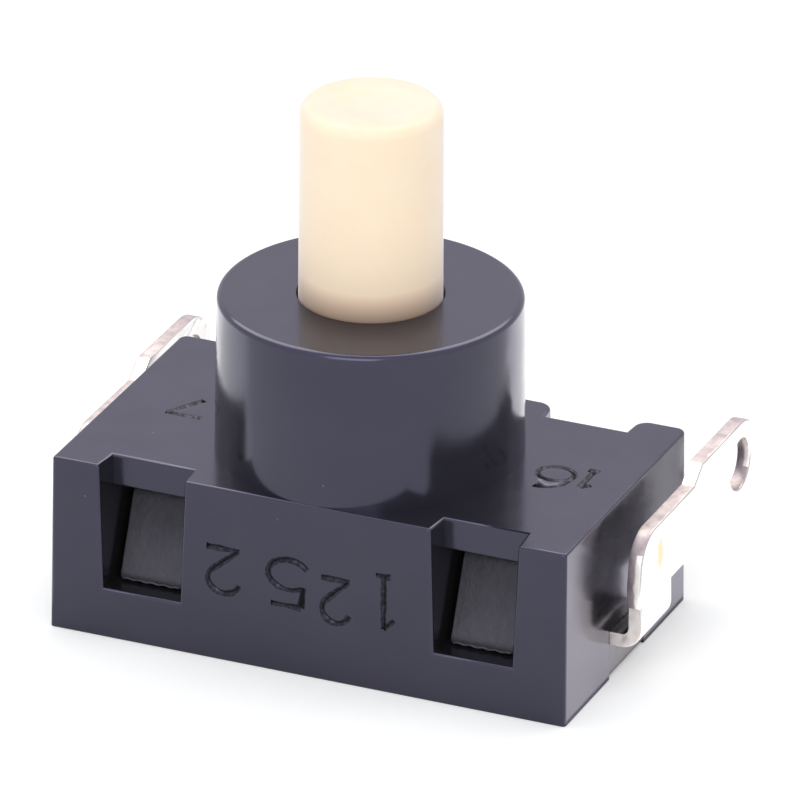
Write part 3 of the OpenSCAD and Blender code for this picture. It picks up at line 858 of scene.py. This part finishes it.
strokes = {
    "1": [[(0.2, 0.8), (0.6, 1)], [(0.6, 1), (0.6, 0)], [(0.35, 0), (0.9, 0)]],
    "2": [bow(0.48, 0.7, 0.48, 0.3, 165, -35) + [(0.06, 0.03)], [(0, 0), (1, 0)]],
    "5": [[(0.92, 1), (0.12, 1)], [(0.14, 1), (0.08, 0.55)], bow(0.45, 0.33, 0.55, 0.33, 125, -150)],
    "6": [bow(0.62, 0.4, 0.62, 0.6, 75, 180), bow(0.5, 0.32, 0.5, 0.32, 180, 365),
          bow(0.5, 0.32, 0.5, 0.32, 355, 545)],
    "7": [[(0, 1), (1, 1)], [(0.96, 0.98), (0.38, 0)]],
}


def swept(name, points, radius, wander, finish=None):
    """Sweep a four-sided section along points in millimetres, with a size that wanders."""
    line = bpy.data.curves.new("stroke", "CURVE")
    line.dimensions = "3D"
    run = line.splines.new("POLY")
    run.points.add(len(points) - 1)
    for point, spot in zip(run.points, points):
        point.co = (*(Vector(spot) * MM), 1)
    stroke = add_piece("stroke", line)
    piece = grow(name, groove_tree, {"Stroke": stroke, "Radius": radius * MM, "Wander": wander,
                                     "Finish": finish})
    bpy.data.objects.remove(stroke)
    return piece


def sink(piece, numeral, place, width, height, radius, depth):
    """Cut a numeral into a piece. Place gives a point on the face from a step across and up."""
    for stroke in strokes[numeral]:
        points = []
        for u, v in stroke:
            spot, outward = place(u * width, v * height)
            points.append(Vector(spot) + Vector(outward) * (radius - depth))
        cut(piece, swept("groove", points, radius, 1.3))


def on_front(right_x, top_z):
    lean = DRAFT_Y / DECK
    return lambda u, v: ((right_x - u, cover_low.y + lean * (top_z - v), top_z - v), (0, -1, 0))


def on_deck(right_x, back_y):
    return lambda u, v: ((right_x - u, back_y - v, DECK), (0, 0, 1))


for numeral, right_x, top_z, width, height in (("2", -4.0, 6.8, 2.0, 2.7), ("5", 0.0, 6.9, 2.3, 2.8),
                                               ("2", 2.6, 6.25, 1.7, 2.65), ("1", 5.6, 7.0, 1.6, 3.2)):
    sink(cover, numeral, on_front(right_x, top_z), width, height, 0.2, 0.18)
for numeral, right_x, back_y, width, height in (("7", -9.8, 1.3, 2.2, 2.2), ("6", 12.0, 1.4, 2.1, 2.7),
                                                ("1", 13.5, 1.7, 1.2, 2.2)):
    sink(cover, numeral, on_deck(right_x, back_y), width, height, 0.22, 0.2)
even_light(cover)
mark = cover.data.attributes.new("marked", "FLOAT", "FACE")
for face in cover.data.polygons:
    x, y, z = face.center / MM
    in_front = y < cover_low.y + 0.6 and 2.9 < z < 7.4 and abs(x) < 6.5 and abs(face.normal.y) < 0.98
    on_top = abs(z - DECK) < 0.4 and abs(y) < 2.2 and 9 < abs(x) < 14 and abs(face.normal.z) < 0.98
    mark.data[face.index].value = in_front or on_top
hand_over(cover, "housing", "black_moulding", "housing_cover")

# %% [markdown]
# ## The base
# The base closes the housing from below and carries all that stays still inside. Four hooks
# reach up into the windows and snap over their sills. Each has a chamfered tip, a crease across
# its face and a thin bead of flash at its foot. The base is a plate with a tongue at each end,
# which fills the slot under the terminal, and with small posts that guide the bridge.

# %% The base and its hooks
strip_low = size_of("terminal_right")[0].z      # the strip lies on the base's floor plate
STRIP = 0.8                                     # thickness of the terminal strip
strip_top = strip_low + STRIP
plate_x, plate_y = cover_high.x - 1.7, WALL_IN - 0.1
base = block("base_plate", (-plate_x, -plate_y, base_low.z), (plate_x, plate_y, strip_low))
tongue_x = cover_high.x - 0.04
add(base, block("tongues", (-tongue_x, -2.5, base_low.z + 0.25), (tongue_x, 2.5, strip_low)))

arm_out, arm_in, catch = -plate_y, 2.2 - plate_y, -WALL_IN - 0.3
hook_half = SILL_HALF - 0.45
hook = pushed("hook", [(arm_in, strip_low - 0.2), (arm_out, strip_low - 0.2), (arm_out, SILL + 0.1),
                       (catch, SILL + 0.1), (catch - 0.02, SILL + 0.55), (catch + 0.1, SILL + 0.7),
                       (arm_in - 0.92, base_high.z - 0.75), (arm_in - 0.4, base_high.z - 0.1),
                       (arm_in - 0.2, base_high.z), (arm_in, base_high.z)], "X", -hook_half, hook_half)
soften(hook, 0.08, 2, sharper_than=55)
flash = [(x / 20 * hook_half, catch, SILL + 0.16 + 0.035 * math.sin(0.8 * x + 1)) for x in range(-18, 19)]
add(hook, swept("flash", flash, 0.08, 1.6))
hooks = both_sides(hook, 4, WINDOW_X)

bridge_low, bridge_high = size_of("contact_bridge")
for x in (-1, 1):
    for y in (-1, 1):
        post = sorted([4.0 * x, 5.2 * x]), sorted([2.15 * y, 3.35 * y])
        add(base, block("post", (post[0][0], post[1][0], strip_low - 0.2),
                        (post[0][1], post[1][1], bridge_high.z + 0.2)))
    rib_x = sorted([6.4 * x, (plate_x - 0.1) * x])
    add(base, block("locator", (rib_x[0], -3.25, strip_low - 0.2), (rib_x[1], -2.55, strip_top)),
        block("locator", (rib_x[0], 2.05, strip_low - 0.2), (rib_x[1], 2.75, strip_top)))
    tail_outline = [(0, strip_low - 0.35), (1.35, strip_low - 0.35), (1.35, 4), (0, 4)]
    cut(base, moved(turned("tail_pocket", tail_outline, 48), Matrix.Translation((7.2 * x * MM, 0, 0))))
spring_low = size_of("return_spring")[0].z
cut(base, turned("spring_pocket", [(0, spring_low), (3.05, spring_low), (3.05, 4), (0, 4)], 72))
soften(base, 0.07, 2, lambda e: abs(e.verts[0].co.x) < 15 * MM, 55)
even_light(add(base, hooks))
hand_over(base, "housing", "base_moulding", "base")

# %% [markdown]
# ## The button
# The button is turned about its axis: a long shank with a rounded edge and a shallow dish for the
# fingertip, and below it a wider skirt that stays inside the collar. Four lugs keep it from
# turning. Eight notches in the foot of the skirt make the crown that drives the ratchet round.

# %% The button
rim, dish = 0.6, 0.12
shank_low, shank_high, skirt = 4.0, 3.96, 5.15
top, foot = button_high.z, button_low.z
skirt_top = collar_top - 1.65
button = turned("button", [(0, foot), (skirt, foot), (skirt, skirt_top), (shank_low, skirt_top),
                           (shank_low, collar_top), *arc(shank_high - rim, top - rim, rim, 0, 90, 8),
                           *arc(2.2 + 0.05, top - 0.2, 0.2, 90, 104, 2)[1:],
                           (1.75, top - dish), (0, top - dish)])
lug_root = foot + TOOTH_RISE
lug = stacked("lug", *[[(reach, -LUG_HALF, lug_root), (reach, LUG_HALF, lug_root),
                        (reach, LUG_HALF, skirt_top), (reach, -LUG_HALF, skirt_top)]
                       for reach in (0, 6.3)])
add(button, ring_of(lug, 4))
notch = moved(ramp("notch", 2 * LUG_HALF, foot, lug_root),
              Matrix.Translation((0, 2 * LUG_HALF * MM, 0)))
cut(button, turned("crown_bore", [(0, foot - 1), (3.5, foot - 1), (3.5, 15.4), (0, 15.4)], 72),
    turned("stem_bore", [(0, foot), (2.15, foot), (2.15, 17.85), (0, 17.85)], 72),
    ring_of(notch, 8))
even_light(button)
hand_over(button, "button", "ivory_moulding", "push_button")

# %% [markdown]
# ## Terminals
# Each terminal is punched from plated strip and bent up once. The strip's outline across the bend
# and the blade's outline are each pushed through the metal and joined. The left terminal is the
# right one mirrored, so its faces are turned over after the mirror. It stands a little closer to
# the housing, since bent strips are seldom quite alike. The punched edges get a value that
# rises from their outer side to their inner side, and the finish reads it.

# %% Terminals
term_low, term_high = size_of("terminal_right")
INNER_BEND = 0.4
bend_z = strip_top + INNER_BEND
blade_low, blade_front, blade_top = 4.65, -2.6, 8.85
tab_radius = (term_high.z - blade_low) / 2
tab_y, tab_z = term_high.y - tab_radius, blade_low + tab_radius
strip_front, strip_back = -2.45, 1.95


def make_terminal(name, outer_x):
    """A terminal for the right side, whose upright blade has its outer face at outer_x."""
    bend_x = outer_x - STRIP - INNER_BEND
    section = ([(term_low.x, strip_low), (bend_x, strip_low)]
               + arc(bend_x, bend_z, INNER_BEND + STRIP, -90, 0, 12)
               + [(outer_x, 6.5), (outer_x - STRIP, 6.5)]
               + arc(bend_x, bend_z, INNER_BEND, 0, -90, 10) + [(term_low.x, strip_top)])
    blade = ([(blade_front + 0.08, blade_low)] + arc(tab_y, tab_z, tab_radius, -90, 90, 32)
             + [(6.3, term_high.z), (5.1, blade_top)]
             + arc(blade_front + 2, blade_top - 2, 2, 90, 180, 12)
             + [(blade_front - 0.1, 6.2), (blade_front - 0.13, 5.7), (blade_front - 0.08, 5.2)])
    piece = pushed(name, section, "Y", strip_front, strip_back)
    add(piece, pushed("blade", blade, "X", outer_x - STRIP, outer_x))
    cut(piece, pushed("tab_hole", arc(tab_y, tab_z, 1.5, 0, 352.5, 47), "X", 10, 20),
        pushed("rivet_hole", arc(7.2, 0, 0.82, 0, 350, 35), "Z", 1, 4))
    soften(piece, 0.12, 3, lambda e: min(v.co.x for v in e.verts) > (outer_x - 0.01) * MM, 55)
    soften(piece, 0.04, 2, sharper_than=55)
    even_light(piece)
    mark = piece.data.attributes.new("sheared", "FLOAT", "CORNER")
    for face in piece.data.polygons:
        upright = face.center.z > 3.4 * MM
        if abs(face.normal.x) < 0.5 and (upright or abs(face.normal.y) > 0.5):
            for corner in face.loop_indices:
                spot = piece.data.vertices[piece.data.loops[corner].vertex_index].co / MM
                inward = (outer_x - spot.x) / STRIP if upright else 0.2
                step = upright and face.normal.z > 0.2 and 5.0 < face.center.y / MM < 6.4
                mark.data[corner].value = 0.45 if step else 1 if face.normal.z > 0.5 else 0.5 + 0.5 * inward
    return piece


terminal = make_terminal("terminal_r", term_high.x)
mirrored = make_terminal("terminal_l", term_high.x - 0.3)
moved(mirrored, Matrix.Scale(-1, 4, (1, 0, 0)))
mirrored.data.flip_normals()
hand_over(terminal, "housing", "plated_strip", "terminal_right")
hand_over(mirrored, "housing", "plated_strip", "terminal_left")

# %% [markdown]
# ## Ratchet, carrier and seat
# Under the button sits the ratchet's rotor, which is turned too, with four lugs whose sloping tops
# meet the crown. It sits on the pin of the carrier, and its lugs have a little play in their
# slots. The carrier's square post passes through the bridge, and the spring seat is staked on
# its foot.

# %% The ratchet and the carrier
rotor_low, rotor_high = size_of("ratchet_rotor")
carrier_low, carrier_high = size_of("contact_carrier")
seat_low, seat_high = size_of("spring_seat")
lug_foot = rotor_low.z + 0.8
lug_peak = rotor_high.z - 2.5
rotor = turned("rotor", [(0, rotor_low.z), (3.1, rotor_low.z), (3.2, rotor_low.z + 0.1),
                         (3.2, lug_peak + 0.1), (2, lug_peak + 0.1), (2, rotor_high.z - 0.15),
                         (1.85, rotor_high.z), (0, rotor_high.z)])
tooth = [(-LUG_HALF, lug_foot), (LUG_HALF, lug_foot),
         (LUG_HALF, lug_peak), (-LUG_HALF, lug_peak - TOOTH_RISE)]
add(rotor, ring_of(pushed("tooth", tooth, "X", 0, rotor_high.x - 0.13), 4))
pivot_top = carrier_high.z + 0.05
cut(rotor, turned("pivot_bore", [(0, 10), (1.25, 10), (1.25, pivot_top), (0, pivot_top)], 48))
even_light(soften(rotor, 0.05, 2, sharper_than=70))
hand_over(rotor, "rotor", "natural_moulding", "ratchet_rotor")

flange_top = rotor_low.z - 0.05
carrier = turned("carrier", [(0, flange_top - 0.8), (4.1, flange_top - 0.8), (4.2, flange_top - 0.7),
                             (4.2, flange_top - 0.1), (4.1, flange_top), (1.2, flange_top),
                             (1.2, carrier_high.z - 0.15), (1.05, carrier_high.z), (0, carrier_high.z)])
add(carrier, block("carrier_post", (-1.1, -1.1, seat_low.z - 0.2), (1.1, 1.1, flange_top - 0.6)),
    turned("stake", [(0, carrier_low.z), (1.7, carrier_low.z), (2, carrier_low.z + 0.25), (2, seat_low.z),
                     (0, seat_low.z)], 48))
even_light(soften(carrier, 0.05, 2, sharper_than=70))
hand_over(carrier, "carrier", "grey_moulding", "contact_carrier")

seat = turned("seat", [(0, seat_low.z), (3.2, seat_low.z), (3.3, seat_low.z + 0.1), (3.3, seat_high.z - 0.1),
                       (3.2, seat_high.z), (0, seat_high.z)], 96)
cut(seat, block("seat_hole", (-1.1, -1.1, 0), (1.1, 1.1, 20)))
hand_over(even_light(seat), "carrier", "spring_steel", "spring_seat")

# %% [markdown]
# ## Springs
# A compression spring is a wire that climbs while it goes round, with its first and last turn
# lying flat. A Geometry Nodes tree says just that: it takes the diameter, the wire, the turns
# and the length as named inputs, so the same tree winds both springs.

# %% The coil tree


def make_coil_tree():
    tree, given, out = new_tree("compression spring", [
        ("Mean Diameter", "Float"), ("Wire", "Float"), ("Turns", "Float"), ("Length", "Float"),
        ("Start Height", "Float"), ("Finish", "Material")])
    size = given.outputs
    line = tree.nodes.new("GeometryNodeCurvePrimitiveLine")
    resample = tree.nodes.new("GeometryNodeResampleCurve")
    joint(tree, line.outputs["Curve"], resample.inputs["Curve"])
    joint(tree, sum_of(tree, "MULTIPLY", size["Turns"], 48), resample.inputs["Count"])
    along = tree.nodes.new("GeometryNodeSplineParameter").outputs["Factor"]
    turn = sum_of(tree, "MULTIPLY", along, size["Turns"])
    angle = sum_of(tree, "MULTIPLY", turn, 2 * math.pi)
    radius = sum_of(tree, "MULTIPLY", size["Mean Diameter"], 0.5)
    climb = sum_of(tree, "DIVIDE", sum_of(tree, "SUBTRACT", turn, 0.75),
                   sum_of(tree, "SUBTRACT", size["Turns"], 1.5))
    climb = sum_of(tree, "MAXIMUM", sum_of(tree, "MINIMUM", climb, 1), 0)
    height = sum_of(tree, "MULTIPLY", climb, sum_of(tree, "SUBTRACT", size["Length"], size["Wire"]))
    height = sum_of(tree, "ADD", height, sum_of(tree, "MULTIPLY", size["Wire"], 0.5))
    height = sum_of(tree, "ADD", height, size["Start Height"])
    place = tree.nodes.new("GeometryNodeSetPosition")
    joint(tree, resample.outputs["Curve"], place.inputs["Geometry"])
    joint(tree, vector_of(tree, sum_of(tree, "MULTIPLY", radius, sum_of(tree, "COSINE", angle)),
                          sum_of(tree, "MULTIPLY", radius, sum_of(tree, "SINE", angle)), height),
          place.inputs["Position"])
    wire = tree.nodes.new("GeometryNodeCurvePrimitiveCircle")
    wire.inputs["Resolution"].default_value = 16
    joint(tree, sum_of(tree, "MULTIPLY", size["Wire"], 0.5), wire.inputs["Radius"])
    sweep = tree.nodes.new("GeometryNodeCurveToMesh")
    sweep.inputs["Fill Caps"].default_value = True
    joint(tree, place.outputs["Geometry"], sweep.inputs["Curve"])
    joint(tree, wire.outputs["Curve"], sweep.inputs["Profile Curve"])
    end_tree(tree, sweep.outputs["Mesh"], size["Finish"], out)
    return tree


coil_tree = make_coil_tree()


def wind(name, node, wire, turns):
    """Wind a spring that fills the room its solid holds."""
    low, high = size_of(node)
    return even_light(grow(name, coil_tree, {
        "Mean Diameter": (high.x - low.x - wire) * MM, "Wire": wire * MM, "Turns": turns,
        "Length": (high.z - low.z) * MM, "Start Height": low.z * MM,
        "Finish": finishes["spring_steel"]}))


return_coil = wind("return_coil", "return_spring", 0.4, 5)
contact_coil = wind("contact_coil", "contact_spring", 0.35, 4.5)
hand_over(return_coil, "housing", "spring_steel", "return_spring")
hand_over(contact_coil, "carrier", "spring_steel", "contact_spring")
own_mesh(return_coil)
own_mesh(contact_coil)

# %% [markdown]
# ## Bridge and contacts
# The bridge is a copper bar with a round middle and a square hole. A pair of silver contacts is
# riveted in its ends, and a second pair is riveted in the terminals under them. A contact is
# turned once, and the row tree sets one at each side.

# %% The bridge and the contacts
bar_y = 2.0
outline = [(bridge_low.x + 0.4, -bar_y), (-math.sqrt(9 - bar_y ** 2), -bar_y)]
side_turn = math.degrees(math.asin(bar_y / 3))
outline += arc(0, 0, 3, 180 + side_turn, 360 - side_turn, 20)[1:]
outline += arc(bridge_high.x - 0.4, 0.4 - bar_y, 0.4, -90, 0, 4)
outline += arc(bridge_high.x - 0.4, bar_y - 0.4, 0.4, 0, 90, 4)
outline += arc(0, 0, 3, side_turn, 180 - side_turn, 20)
outline += arc(bridge_low.x + 0.4, bar_y - 0.4, 0.4, 90, 180, 4)
outline += arc(bridge_low.x + 0.4, 0.4 - bar_y, 0.4, 180, 270, 4)[:-1]
bridge = pushed("bridge", outline[1:], "Z", bridge_low.z, bridge_high.z)
cut(bridge, block("post_hole", (-1.25, -1.25, 0), (1.25, 1.25, 20)),
    both_sides(pushed("rivet_hole", arc(0, 0, 0.82, 0, 350, 35), "Z", 5, 9), 2, 7.2))
even_light(soften(bridge, 0.05, 2, sharper_than=55))
hand_over(bridge, "bridge", "copper_strip", "contact_bridge")


def contact(name, head_face, outward, strip):
    """A riveted contact: a domed head on one face of a strip and a flat tail on the other."""
    def at(radius, rise):
        return (radius, head_face + outward * rise)
    return turned(name, [at(0, -strip - 0.3), at(1.1, -strip - 0.3), at(1.2, -strip - 0.2), at(1.2, -strip),
                         at(0.8, -strip), at(0.8, 0), at(1.5, 0), at(1.5, 0.4),
                         *[at(r, h) for r, h in arc(1.3, 0.4, 0.2, 0, 90, 4)[1:]], at(0, 0.6)], 64)


moving = both_sides(contact("moving", bridge_low.z, -1, bridge_high.z - bridge_low.z), 2, 7.2)
fixed = both_sides(contact("fixed", strip_top, 1, STRIP), 2, 7.2)
hand_over(even_light(moving), "bridge", "contact_metal", "moving_contact_left", "moving_contact_right")
hand_over(even_light(fixed), "housing", "contact_metal", "fixed_contact_left", "fixed_contact_right")

# %% [markdown]
# ## Floor and light
# The switch stands on a wide white floor that runs on to a white background. A soft lamp above
# and a weaker one in front light it, and the rest is even light from the room.

# %% The floor
floor_form = bmesh.new()
bmesh.ops.create_grid(floor_form, x_segments=1, y_segments=1, size=20000)
bmesh.ops.translate(floor_form, vec=(0, 0, -0.02), verts=floor_form.verts)
floor = close_up("floor", floor_form)
paper = bpy.data.materials.new("paper")
paper.use_nodes = True
tree = paper.node_tree
sheet = tree.nodes["Principled BSDF"]
sheet.inputs["Base Color"].default_value = (0.88, 0.88, 0.88, 1)
sheet.inputs["Roughness"].default_value = 0.9
sheet.inputs["Specular IOR Level"].default_value = 0.1
eye = tree.nodes.new("ShaderNodeLightPath")
glow = tree.nodes.new("ShaderNodeMath")
glow.operation = "MULTIPLY"
glow.inputs[1].default_value = 0.25
tree.links.new(eye.outputs["Is Camera Ray"], glow.inputs[0])
sheet.inputs["Emission Color"].default_value = (1, 1, 1, 1)
tree.links.new(glow.outputs[0], sheet.inputs["Emission Strength"])
floor.data.materials.append(paper)
floor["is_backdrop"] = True

# %% [markdown]
# Gloss shows what stands round a piece, so a product shot is set up with things to mirror. A catch
# light behind the switch draws the bright line round the collar's rim, and the button breaks that
# line where it stands in the way. Three pale cards lie on the table, where the black end wall, the
# plated blades and the sides of the collar mirror them. All four are seen in gloss only, and they
# add no light to the rest.

# %% The light
world = bpy.data.worlds.new("studio")
world.use_nodes = True
bpy.context.scene.world = world
tree = world.node_tree
tree.nodes.clear()
out = tree.nodes.new("ShaderNodeOutputWorld")
room, white, pick = (tree.nodes.new("ShaderNodeBackground"), tree.nodes.new("ShaderNodeBackground"),
                     tree.nodes.new("ShaderNodeMixShader"))
ray = tree.nodes.new("ShaderNodeLightPath")
room.inputs["Color"].default_value = (0.97, 0.985, 1, 1)
room.inputs["Strength"].default_value = 0.84
tree.links.new(blend(tree, ray.outputs["Is Glossy Ray"], (1, 1, 1), (0.93, 0.9, 1)), white.inputs["Color"])
white.inputs["Strength"].default_value = 1
seen = sum_of(tree, "MAXIMUM", ray.outputs["Is Camera Ray"], ray.outputs["Is Transmission Ray"])
tree.links.new(sum_of(tree, "MAXIMUM", seen, ray.outputs["Is Glossy Ray"]), pick.inputs[0])
tree.links.new(room.outputs[0], pick.inputs[1])
tree.links.new(white.outputs[0], pick.inputs[2])
tree.links.new(pick.outputs[0], out.inputs["Surface"])


def lamp(name, around, above, away, wide, deep, glow, colour=(1, 1, 1), reflected_only=False):
    """A soft lamp that faces the switch, from an angle round it and an angle above the table.
    Its glow is its brightness beside white paper, which is 1. One that is only reflected adds a
    catch light on gloss and metal, and no light on the rest."""
    light = bpy.data.lights.new(name, "AREA")
    light.shape = "RECTANGLE"
    light.size, light.size_y = wide, deep
    light.energy = glow * math.pi * wide * deep
    light.color = colour
    lift = Matrix.Rotation(math.radians(around), 4, "Z") @ Matrix.Rotation(math.radians(90 - above), 4, "X")
    stand = bpy.data.objects.new(name, light)
    stand.matrix_world = Matrix.Translation((0, 0, 0.01)) @ lift @ Matrix.Translation((0, 0, away))
    stand.visible_diffuse = not reflected_only
    bpy.context.scene.collection.objects.link(stand)
    print("lamp", name, "stands at", [round(v, 2) for v in stand.matrix_world.translation], "m")


lamp("overhead", 23, 100, 0.6, 0.9, 0.2, 1.5)
lamp("front fill", 10, 28, 0.8, 0.5, 0.5, 2.0)
lamp("catch light", 203, 56, 0.6, 1.2, 0.36, 2.6, (1, 0.98, 0.8), reflected_only=True)


def card(name, low, high, glow, colour=(1, 1, 1)):
    """A pale card that lies on the table between two corners in millimetres, seen only in gloss."""
    light = bpy.data.lights.new(name, "AREA")
    light.shape = "RECTANGLE"
    light.size, light.size_y = (high[0] - low[0]) * MM, (high[1] - low[1]) * MM
    light.energy = glow * math.pi * light.size * light.size_y
    light.color = colour
    sheet = bpy.data.objects.new(name, light)
    middle = ((low[0] + high[0]) / 2 * MM, (low[1] + high[1]) / 2 * MM, 0.00002)
    sheet.matrix_world = Matrix.Translation(middle) @ Matrix.Rotation(math.pi, 4, "X")
    sheet.visible_diffuse = sheet.visible_camera = False
    bpy.context.scene.collection.objects.link(sheet)


card("card at the right", (15.7, -9), (31, 52), 0.98, (1, 0.95, 0.965))
card("card behind", (-60, 16), (15.7, 52), 0.8)
card("card at the left", (-60, -14), (-18, 16), 0.5)
bpy.context.scene.view_settings.view_transform = "Standard"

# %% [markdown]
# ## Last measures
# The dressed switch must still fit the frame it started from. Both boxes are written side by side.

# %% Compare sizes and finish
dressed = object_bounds()
for name, (low, high) in (("solids", cad_bounds), ("dressed", dressed)):
    print(name, "mm:", [round(v / MM, 3) for v in low], [round(v / MM, 3) for v in high])
